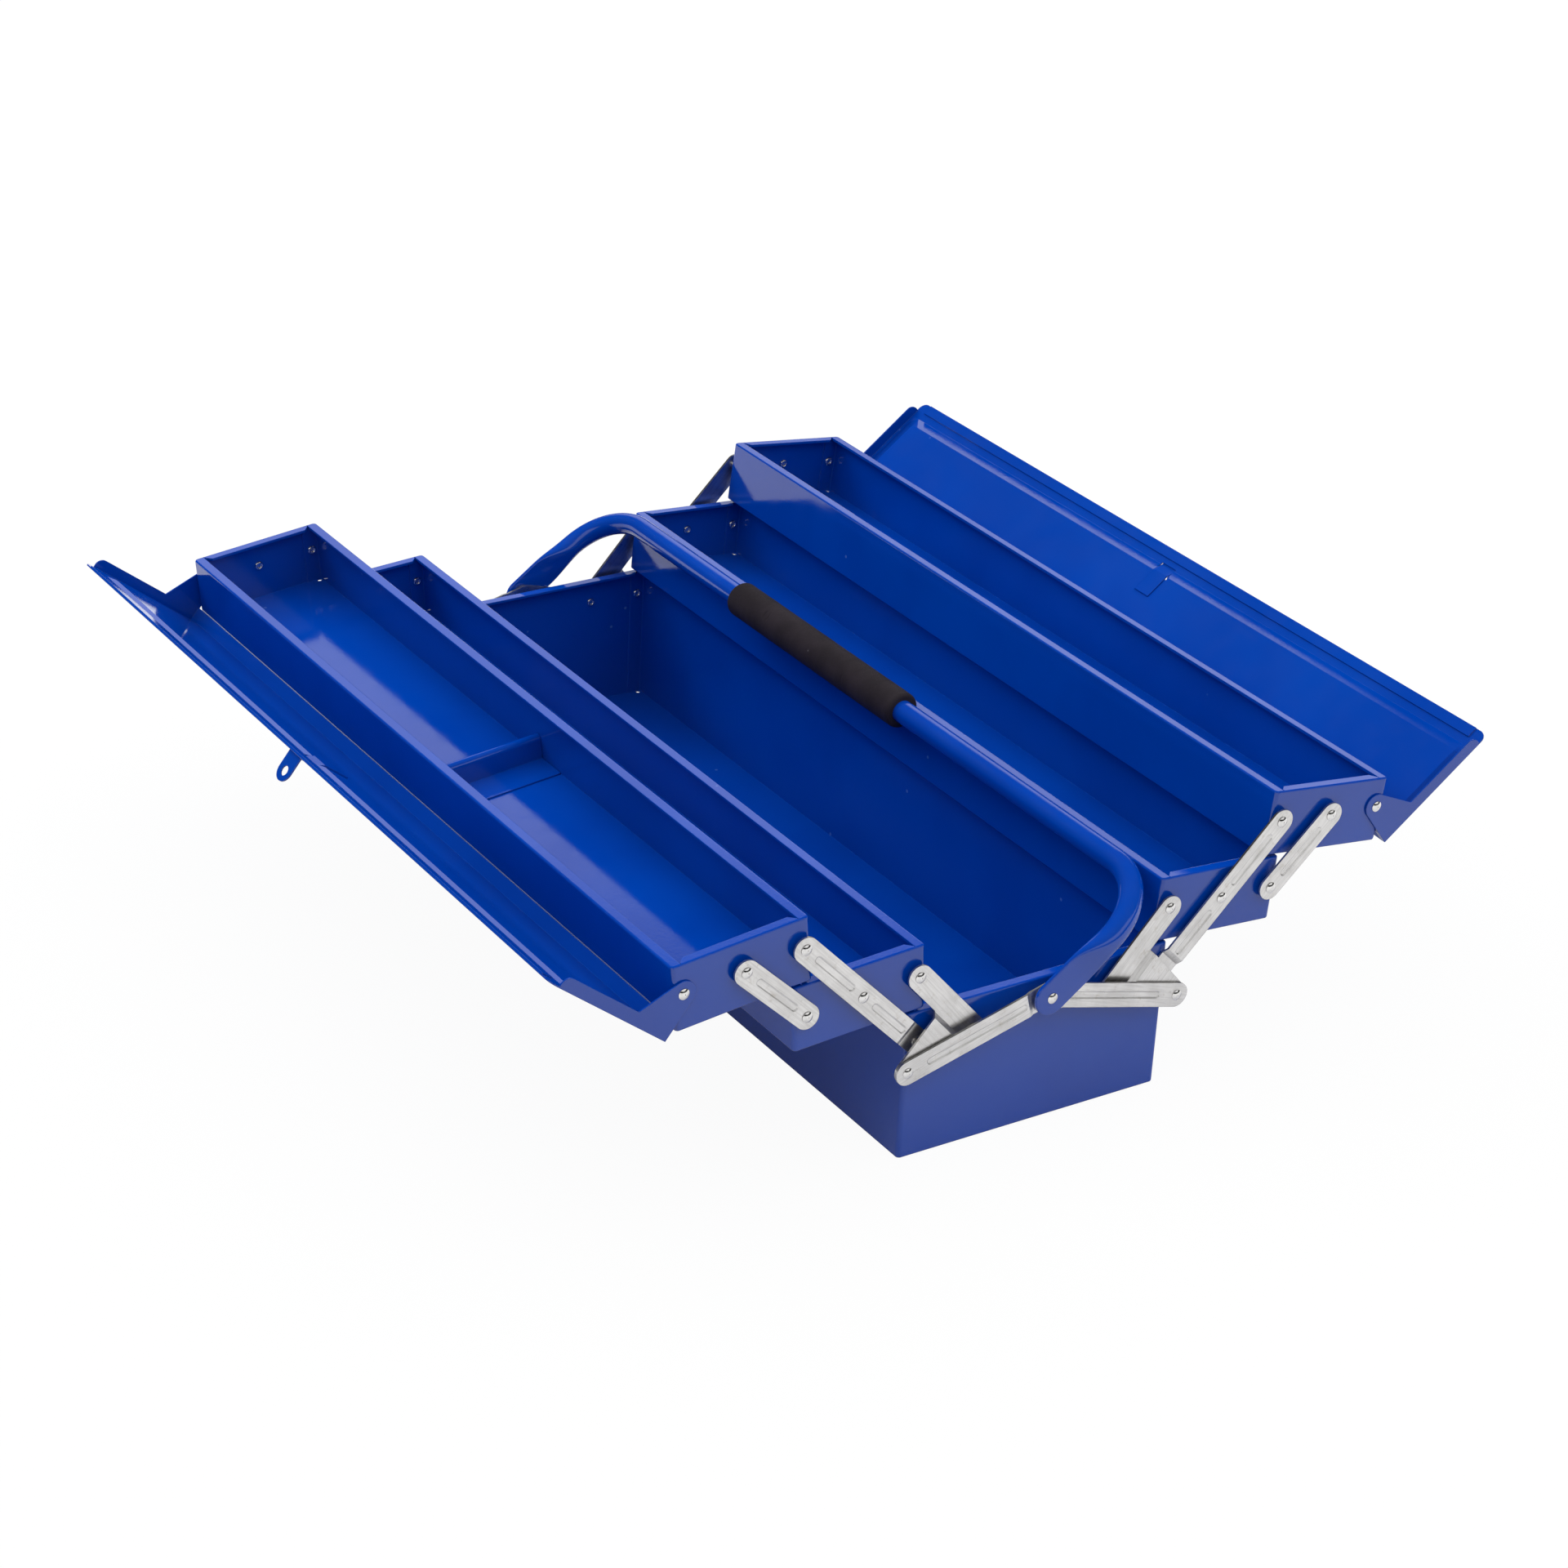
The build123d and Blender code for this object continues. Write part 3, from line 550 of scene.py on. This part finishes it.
def pressed_step(tree, side):
    """Height of the raised field on the inside of a lid; side is -1 in front, 1 at the back."""
    coordinates = add_node(tree, "ShaderNodeTexCoord")
    lean = radians(LID_LEAN)
    points = [point.co for point in nodes["front_lid" if side < 0 else "back_lid"].data.vertices]
    edge = max(side * point.y * cos(lean) + point.z * sin(lean) for point in points)
    end = max(point.x for point in points)
    outward = dot_product(tree, coordinates.outputs["Object"], (0, side * cos(lean), sin(lean)))
    rise = remap(tree, outward, (edge - LID_BORDER - LID_STEP_RUN, edge - LID_BORDER),
                 ALL_TO_NONE, smooth=False)
    split = add_node(tree, "ShaderNodeSeparateXYZ")
    link(tree, coordinates.outputs["Object"], split.inputs[0])
    field = remap(tree, arithmetic(tree, "ABSOLUTE", split.outputs["X"]),
                  (end - LID_END_BORDER - LID_STEP_RUN, end - LID_END_BORDER),
                  ALL_TO_NONE, smooth=False)
    inward = dot_product(tree, coordinates.outputs["Normal"], (0, -side * sin(lean), cos(lean)))
    inside = arithmetic(tree, "GREATER_THAN", inward, 0.0)
    return arithmetic(tree, "MULTIPLY", arithmetic(tree, "MULTIPLY", rise, field), inside)


def blue_enamel(name="blue_enamel", gloss=ENAMEL_GLOSS, lid_side=None):
    """Stoved blue enamel: deep gloss, a fine orange peel, paler where it thins over an edge."""
    material, tree = new_material(name)
    place = object_place(tree)
    edge = place_group(tree, "edge_wear", Vector=place, Width=ENAMEL_EDGE, Breakup=90.0)
    marks = place_group(tree, "handling_marks", Vector=place, Speck_Scale=55.0,
                        Scuff_Scale=38.0)
    drift = remap(tree, noise(tree, place, DRIFT_SCALE, detail=3.0), CLOUDS, NONE_TO_ALL)
    colour = mix_colour(tree, drift, ENAMEL_DEEP, ENAMEL_LIGHT)
    colour = masked_colour(tree, edge["Mask"], ENAMEL_THIN_SHARE, colour, ENAMEL_THIN)
    colour = masked_colour(tree, marks["Specks"], ENAMEL_SPECK_SHARE, colour, ENAMEL_SPECK)
    rough = remap(tree, noise(tree, place, RIPPLE_SCALE), WIDE_CLOUDS, gloss)
    rough = arithmetic(tree, "MULTIPLY_ADD", marks["Scuffs"], ENAMEL_SCUFF_DULLS, rough)
    normal = edge["Normal"]
    if lid_side is not None:
        normal = bump(tree, pressed_step(tree, lid_side), strength=1.0, depth=LID_STEP_RISE,
                      normal=normal)
    peel = noise(tree, place, PEEL_SCALE, detail=3.0, roughness=0.6)
    normal = bump(tree, peel, PEEL_STRENGTH, PEEL_DEPTH, normal)
    surface(tree, Base_Color=colour, Roughness=rough, Normal=normal, IOR=ENAMEL_IOR)
    return material


def zinc_steel(name, along):
    """Bright zinc on rolled strip: satin, faintly clouded, drawn lengthwise, darker at its edges
    and grooves from wear and painted shade.
    """
    material, tree = new_material(name)
    place = object_place(tree)
    edge = place_group(tree, "edge_wear", Vector=place, Width=ZINC_EDGE, Breakup=200.0)
    lines = place_group(tree, "lengthwise_streaks", Vector=place, Along=along,
                        Fineness=LINE_SCALE, Stretch=LINE_STRETCH)
    marks = place_group(tree, "handling_marks", Vector=place, Speck_Scale=160.0,
                        Scuff_Scale=120.0)
    cloud = noise(tree, place, ZINC_CLOUD_SCALE, detail=3.0)
    colour = mix_colour(tree, remap(tree, cloud, CLOUDS, NONE_TO_ALL), ZINC_DULL, ZINC_BRIGHT)
    colour = mix_colour(tree, remap(tree, lines["Mask"], LINE_LEVEL, LINE_SHARE), colour,
                        ZINC_LINE)
    colour = masked_colour(tree, marks["Specks"], ZINC_SPECK_SHARE, colour, ZINC_SPECK)
    stain = noise(tree, place, STAIN_SCALE, detail=4.0, roughness=0.7)
    colour = mix_colour(tree, remap(tree, stain, STAIN_LEVEL, STAIN_SHARE), colour, ZINC_STAIN)
    # Worn edges, darkened further with painted shade along the edges and in the pressed grooves
    colour = masked_colour(tree, edge["Mask"], ZINC_RUB_AND_SHADE_SHARE, colour, ZINC_RUB_AND_GROOVE_SHADE)
    rough = remap(tree, cloud, WIDE_CLOUDS, ZINC_GLOSS)
    rough = arithmetic(tree, "MULTIPLY_ADD", lines["Mask"], LINE_DULLS, rough)
    normal = bump(tree, lines["Mask"], LINE_STRENGTH, LINE_DEPTH, edge["Normal"])
    surface(tree, Base_Color=colour, Roughness=rough, Normal=normal, Metallic=1.0)
    return material


def rivet_steel():
    """Nickel-bright rivets, dulled a little by handling."""
    material, tree = new_material("rivet_steel")
    place = object_place(tree)
    edge = place_group(tree, "edge_wear", Vector=place, Width=RIVET_EDGE, Breakup=600.0)
    marks = place_group(tree, "handling_marks", Vector=place, Speck_Scale=500.0,
                        Scuff_Scale=420.0)
    wear = noise(tree, place, RIVET_WEAR_SCALE, detail=3.0)
    colour = mix_colour(tree, remap(tree, wear, CLOUDS, NONE_TO_ALL), RIVET_DULL, RIVET_BRIGHT)
    colour = masked_colour(tree, marks["Scuffs"], RIVET_SCUFF_SHARE, colour, RIVET_SCUFF)
    rough = remap(tree, wear, WIDE_CLOUDS, RIVET_GLOSS)
    surface(tree, Base_Color=colour, Roughness=rough, Normal=edge["Normal"], Metallic=1.0)
    return material


def grip_foam():
    """Closed-cell foam: nearly black, dusty, with fine pores."""
    material, tree = new_material("grip_foam")
    place = object_place(tree)
    marks = place_group(tree, "handling_marks", Vector=place, Speck_Scale=85.0,
                        Scuff_Scale=70.0)
    patch = noise(tree, place, FOAM_PATCH_SCALE, detail=4.0)
    colour = mix_colour(tree, remap(tree, patch, FOAM_PATCHES, NONE_TO_ALL), FOAM_DARK,
                        FOAM_LIGHT)
    colour = masked_colour(tree, marks["Scuffs"], FOAM_DUST_SHARE, colour, FOAM_DUST)
    colour = masked_colour(tree, marks["Specks"], FOAM_SPECK_SHARE, colour, FOAM_SPECK)
    pores = noise(tree, place, PORE_SCALE, detail=4.0, roughness=0.7)
    rough = remap(tree, pores, WIDE_CLOUDS, FOAM_ROUGHNESS)
    normal = bump(tree, pores, PORE_STRENGTH, PORE_DEPTH)
    surface(tree, Base_Color=colour, Roughness=rough, Normal=normal,
            Specular_IOR_Level=FOAM_SPECULAR)
    return material


def strip_direction(name):
    """Unit vector along a strip, from its node's corners; links lean in, the others out."""
    low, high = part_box(name)
    side = -1 if name.startswith("front") else 1
    lean = -side if name.endswith("link") else side
    across = high[1] - low[1]
    up = high[2] - low[2]
    length = hypot(across, up)
    return (0.0, lean * across / length, up / length)


def dress_nodes(handle_paint, foam):
    """Give every solid its finish: strips that lie the same way share a zinc."""
    finishes = {"blue_enamel": blue_enamel(), "rivet_steel": rivet_steel(), "grip_rubber": foam}
    special = {"front_lid": blue_enamel("front_lid_enamel", lid_side=-1),
               "back_lid": blue_enamel("back_lid_enamel", lid_side=1),
               "handle_tube": handle_paint}
    strips = {}
    for part in frame["record"]["subparts"]:
        name = part["node"]
        if part["material_slot"] == "zinc_steel":
            kind = name.replace("near_", "").replace("far_", "")
            if kind not in strips:
                strips[kind] = zinc_steel("zinc_" + kind, strip_direction(name))
            finish = strips[kind]
        else:
            finish = special.get(name, finishes[part["material_slot"]])
        for slot in nodes[name].material_slots:
            slot.material = finish


# ------------------------------------------------------------------ handle

def add_piece(name, mesh, material, body, replaced):
    """A finished piece that rides on a body in place of a plainer solid."""
    mesh.materials.clear()
    mesh.materials.append(material)
    mesh.shade_smooth()
    mesh.set_sharp_from_angle(angle=radians(SHARP_EDGE))
    piece = bpy.data.objects.new(name, mesh)
    bpy.context.collection.objects.link(piece)
    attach(piece, body)
    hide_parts(replaced)


def closed_mesh(name, form, rings, capped):
    """A mesh of quads between neighbouring rings of points, with its two ends capped or not."""
    for start, end in zip(rings, rings[1:]):
        for i in range(len(start)):
            j = (i + 1) % len(start)
            form.faces.new((start[i], start[j], end[j], end[i]))
    if capped:
        form.faces.new(list(reversed(rings[0])))
        form.faces.new(rings[-1])
    bmesh.ops.recalc_face_normals(form, faces=form.faces)
    mesh = bpy.data.meshes.new(name)
    form.to_mesh(mesh)
    form.free()
    return mesh


def axis_point(low, high, x):
    """The point at x on the middle line of a box that runs along X."""
    return Vector((x, (low[1] + high[1]) / 2, (low[2] + high[2]) / 2))


def eased(share):
    """A share from 0 to 1 that starts and ends slowly."""
    return (1 - cos(share * pi)) / 2


def tube_section(height):
    """Half thickness, half width and corner radius of the handle at a height up its leg."""
    share = eased(min(max((height - FLARE_START) / (FLARE_END - FLARE_START), 0.0), 1.0))
    thick = PADDLE_THICKNESS / 2 + share * (TUBE_RADIUS - PADDLE_THICKNESS / 2)
    wide = PADDLE_WIDTH / 2 + share * (TUBE_RADIUS - PADDLE_WIDTH / 2)
    corner = PADDLE_EDGE + share * (TUBE_RADIUS - PADDLE_EDGE)
    return thick, wide, min(corner, thick, wide)


def section_ring(section):
    """A rounded rectangle: each point's reach across the tube and square to the hoop."""
    thick, wide, corner = section
    ring = []
    for quarter in range(4):
        for point in range(QUARTER_POINTS):
            angle = (quarter + (point + 0.5) / QUARTER_POINTS) * pi / 2
            across = cos(angle) * corner + (thick - corner) * (1 if cos(angle) > 0 else -1)
            square = sin(angle) * corner + (wide - corner) * (1 if sin(angle) > 0 else -1)
            ring.append((across, square))
    return ring


def hoop_stations(leg_x):
    """Places along half of the handle, from the foot of one leg to the middle of the top.

    Each is a point and the way across the tube, both as x and height, and the section.
    """
    stations = []
    tip = PADDLE_WIDTH / 2
    thick, wide, corner = tube_section(0)
    for step in range(1, FOOT_STEPS + 1):
        turn = step / FOOT_STEPS * pi / 2
        reach = max(tip * sin(turn), corner)
        stations.append(((leg_x, -tip * cos(turn)), (1, 0), (thick, reach, corner)))
    straight = HANDLE_RISE - HANDLE_BEND
    for step in range(1, LEG_STEPS + 1):
        height = straight * step / LEG_STEPS
        stations.append(((leg_x, height), (1, 0), tube_section(height)))
    bend_x = leg_x - HANDLE_BEND
    for step in range(1, BEND_STEPS + 1):
        turn = step / BEND_STEPS * pi / 2
        way = (cos(turn), sin(turn))
        point = (bend_x + HANDLE_BEND * way[0], straight + HANDLE_BEND * way[1])
        stations.append((point, way, tube_section(straight + HANDLE_BEND * turn)))
    for step in range(1, TOP_STEPS + 1):
        point = (bend_x * (1 - step / TOP_STEPS), HANDLE_RISE)
        stations.append((point, (0, 1), tube_section(HANDLE_RISE)))
    return stations


def handle_frame():
    """The middle of the handle's pivots, the x of its leg, and the way up to the grip."""
    low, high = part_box("handle_rivets")
    pivot = axis_point(low, high, 0)
    low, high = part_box("handle_grip")
    up = (axis_point(low, high, 0) - pivot).normalized()
    leg_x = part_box("handle_tube")[1][0] - TUBE_RADIUS
    return pivot, leg_x, up


def bored(mesh, pivot, leg_x):
    """The handle's mesh with a hole for the rivet through each paddle."""
    drill = bmesh.new()
    for side in (-1, 1):
        foot = Matrix.Translation((side * leg_x, pivot.y, pivot.z))
        bmesh.ops.create_cone(drill, cap_ends=True, segments=HOLE_SIDES, radius1=RIVET_HOLE,
                              radius2=RIVET_HOLE, depth=DRILL_LENGTH,
                              matrix=foot @ Matrix.Rotation(pi / 2, 4, "Y"))
    cutter_mesh = bpy.data.meshes.new("rivet_drill")
    drill.to_mesh(cutter_mesh)
    drill.free()
    cutter = bpy.data.objects.new("rivet_drill", cutter_mesh)
    blank = bpy.data.objects.new("handle_blank", mesh)
    for item in (cutter, blank):
        bpy.context.collection.objects.link(item)
    cut = blank.modifiers.new("rivet_holes", "BOOLEAN")
    cut.object = cutter
    cut.solver = "EXACT"
    bpy.context.view_layer.update()
    depsgraph = bpy.context.evaluated_depsgraph_get()
    result = bpy.data.meshes.new_from_object(blank.evaluated_get(depsgraph))
    for item in (cutter, blank):
        bpy.data.objects.remove(item)
    return result


def bend_handle(material):
    """The hoop: round tube, flared into flat rounded paddles at its two feet."""
    pivot, leg_x, up = handle_frame()
    along = Vector((1, 0, 0))
    square = up.cross(along)
    half = hoop_stations(leg_x)
    rest = [((-point[0], point[1]), (-way[0], way[1]), section)
            for point, way, section in reversed(half[:-1])]
    tube = bmesh.new()
    rings = []
    for point, way, section in half + rest:
        centre = pivot + point[0] * along + point[1] * up
        across = way[0] * along + way[1] * up
        rings.append([tube.verts.new(centre + first * across + second * square)
                      for first, second in section_ring(section)])
    mesh = closed_mesh("handle_hoop", tube, rings, capped=True)
    add_piece("handle_hoop", bored(mesh, pivot, leg_x), material, "handle",
              "handle_tube")


# -------------------------------------------------------------------- grip

def nick(run, turn, place, bow):
    """How deep a short crescent cut is at a point of the grip."""
    across = (run - place[0] - bow * (turn - place[1]) ** 2) / NICK_WIDTH
    spread = (turn - place[1]) / NICK_SPREAD
    return NICK_DEPTH * exp(-across ** 2 - spread ** 4)


def grip_radius(run, turn, length, outer):
    """Radius of the foam at a distance from its far end and an angle round it."""
    end = min(run, length - run, GRIP_ROUND)
    shoulder = GRIP_ROUND - (GRIP_ROUND ** 2 - (GRIP_ROUND - end) ** 2) ** 0.5
    ripple = turbulence.noise(Vector((run / RIPPLE_PITCH, cos(turn) * RIPPLE_ROUND,
                                      sin(turn) * RIPPLE_ROUND)))
    lumps = turbulence.noise(Vector((run, outer * cos(turn), outer * sin(turn))) / LUMP_SIZE)
    dents = sum(share * nick(run, turn, (place, radians(NICK_SIDE) + on), bow)
                for place, on, bow, share in NICKS)
    return outer - shoulder - RIPPLE_DEPTH * (1 + ripple) - LUMP_DEPTH * (1 + lumps) / 2 - dents


def shape_grip(material):
    """The foam sleeve: softly rippled, nicked at three places, bored for the tube."""
    low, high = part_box("handle_grip")
    length = high[0] - low[0]
    outer = (high[2] - low[2]) / 2
    far_end = axis_point(low, high, low[0])
    straight = length - 2 * GRIP_ROUND
    rounded = [GRIP_ROUND * (1 - cos(step / GRIP_ROUND_STEPS * pi / 2))
               for step in range(GRIP_ROUND_STEPS)]
    count = ceil(straight / GRIP_STEP)
    runs = (rounded + [GRIP_ROUND + straight * step / count for step in range(count + 1)]
            + [length - run for run in reversed(rounded)])
    sleeve = bmesh.new()
    rings = []
    for number, run in enumerate([0.0] + runs + [length]):
        bore = number in (0, len(runs) + 1)
        ring = []
        for step in range(GRIP_TURNS):
            turn = 2 * pi * step / GRIP_TURNS
            radius = GRIP_BORE if bore else grip_radius(run, turn, length, outer)
            ring.append(sleeve.verts.new(far_end + Vector((run, radius * cos(turn),
                                                           radius * sin(turn)))))
        rings.append(ring)
    rings.append(rings[0])
    mesh = closed_mesh("foam_grip", sleeve, rings, capped=False)
    add_piece("foam_grip", mesh, material, "handle", "handle_grip")


bpy.context.scene.view_settings.view_transform = "Standard"
aim_camera()
lay_floor()
light_world()
for lamp in LAMPS:
    hang_lamp(*lamp)
handle_enamel = blue_enamel("handle_enamel", gloss=HANDLE_GLOSS)
dark_foam = grip_foam()
dress_nodes(handle_enamel, dark_foam)
bend_handle(handle_enamel)
shape_grip(dark_foam)
